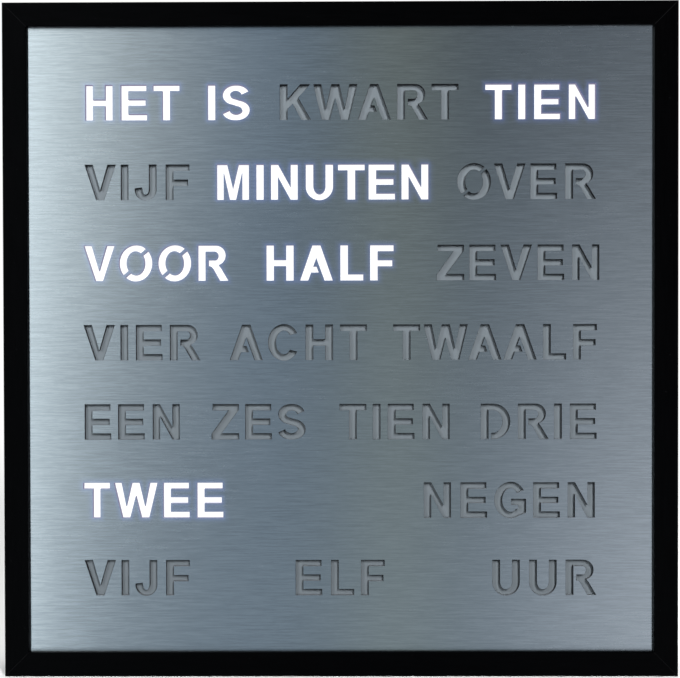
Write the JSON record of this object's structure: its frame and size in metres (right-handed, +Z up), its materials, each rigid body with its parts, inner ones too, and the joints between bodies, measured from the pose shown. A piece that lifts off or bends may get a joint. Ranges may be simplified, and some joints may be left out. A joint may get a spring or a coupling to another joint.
{
  "type": "word clock",
  "caption": "Square wall clock that lights words cut through a brushed steel face, in a black mitred box frame with a back panel held by turn buttons.",
  "frame": {"origin": "middle of the footprint under the frame, at the height of its lower face", "axes": "+Z up, +X to the right as seen from the front, +Y from the face towards the wall"},
  "size_m": [0.5, 0.0494, 0.5],
  "materials": {
    "black_wood": "satin black paint",
    "plywood": "raw birch plywood",
    "face_steel": "brushed from side to side",
    "opal_acrylic": "opal, lit by word",
    "black_foam_board": "matt black",
    "white_board": "white faced hardboard",
    "strip_white": "white tape",
    "pine": "planed pine",
    "hardboard": "smooth brown hardboard",
    "circuit_board": "green solder mask",
    "black_plastic": "moulded black",
    "red_plastic": "moulded red",
    "green_plastic": "moulded green",
    "white_plastic": "moulded ivory",
    "zinc": "zinc plated",
    "brass": "brass plated",
    "lead_jacket": "soft jacket",
    "bumper_rubber": "matt rubber"
  },
  "bodies": {
    "clock": {"bottom_rail": "black_wood", "left_rail": "black_wood", "top_rail": "black_wood", "right_rail": "black_wood", "mitre_splines": "plywood", "face_plate": "face_steel", "diffuser": "opal_acrylic", "light_baffle": "black_foam_board", "strip_ribbons": "lead_jacket", "strip_board": "white_board", "bottom_batten": "pine", "left_batten": "pine", "top_batten": "pine", "right_batten": "pine", "controller_board": "circuit_board", "controller_chips": "black_plastic", "backup_cell": "zinc", "cell_holder": "black_plastic", "screw_terminals": "green_plastic", "strip_plug": "white_plastic", "capacitor": "black_plastic", "board_spacers": "brass", "board_screws": "zinc", "power_socket": "black_plastic", "power_socket_nut": "zinc", "power_lead": "lead_jacket", "strip_lead": "lead_jacket", "button_lead": "lead_jacket", "back_panel": "hardboard", "set_button_barrels": "black_plastic", "set_button_nuts": "zinc", "turn_button_screws": "brass", "hanger_plates": "zinc", "hanger_screws": "zinc", "wall_bumpers": "bumper_rubber", "light_strip_1": "strip_white", "light_strip_2": "strip_white", "light_strip_3": "strip_white", "light_strip_4": "strip_white", "light_strip_5": "strip_white", "light_strip_6": "strip_white", "light_strip_7": "strip_white"},
    "hour_button": {"hour_button": "red_plastic"},
    "minute_button": {"minute_button": "black_plastic"},
    "turn_button_1": {"turn_button_1": "brass"},
    "turn_button_2": {"turn_button_2": "brass"},
    "turn_button_3": {"turn_button_3": "brass"},
    "turn_button_4": {"turn_button_4": "brass"},
    "turn_button_5": {"turn_button_5": "brass"},
    "turn_button_6": {"turn_button_6": "brass"},
    "turn_button_7": {"turn_button_7": "brass"},
    "turn_button_8": {"turn_button_8": "brass"}
  },
  "joints": [
    {"name": "turn_button_1_swing", "type": "hinge", "parent": "clock", "child": "turn_button_1", "pos_m": [-0.125, 0.0212, 0.007], "axis": [0, 1, 0], "range_deg": [-90, 90]},
    {"name": "turn_button_2_swing", "type": "hinge", "parent": "clock", "child": "turn_button_2", "pos_m": [0.125, 0.0212, 0.007], "axis": [0, 1, 0], "range_deg": [-90, 90]},
    {"name": "turn_button_3_swing", "type": "hinge", "parent": "clock", "child": "turn_button_3", "pos_m": [-0.243, 0.0212, 0.375], "axis": [0, 1, 0], "range_deg": [-90, 90]},
    {"name": "turn_button_4_swing", "type": "hinge", "parent": "clock", "child": "turn_button_4", "pos_m": [-0.243, 0.0212, 0.125], "axis": [0, 1, 0], "range_deg": [-90, 90]},
    {"name": "turn_button_5_swing", "type": "hinge", "parent": "clock", "child": "turn_button_5", "pos_m": [0.125, 0.0212, 0.493], "axis": [0, 1, 0], "range_deg": [-90, 90]},
    {"name": "turn_button_6_swing", "type": "hinge", "parent": "clock", "child": "turn_button_6", "pos_m": [-0.125, 0.0212, 0.493], "axis": [0, 1, 0], "range_deg": [-90, 90]},
    {"name": "turn_button_7_swing", "type": "hinge", "parent": "clock", "child": "turn_button_7", "pos_m": [0.243, 0.0212, 0.125], "axis": [0, 1, 0], "range_deg": [-90, 90]},
    {"name": "turn_button_8_swing", "type": "hinge", "parent": "clock", "child": "turn_button_8", "pos_m": [0.243, 0.0212, 0.375], "axis": [0, 1, 0], "range_deg": [-90, 90]},
    {"name": "hour_button_press", "type": "slide", "parent": "clock", "child": "hour_button", "axis": [0, -1, 0], "range_m": [0, 0.0012], "stiffness_N_per_m": 400, "springref_m": -0.0015},
    {"name": "minute_button_press", "type": "slide", "parent": "clock", "child": "minute_button", "axis": [0, -1, 0], "range_m": [0, 0.0012], "stiffness_N_per_m": 400, "springref_m": -0.0015}
  ]
}
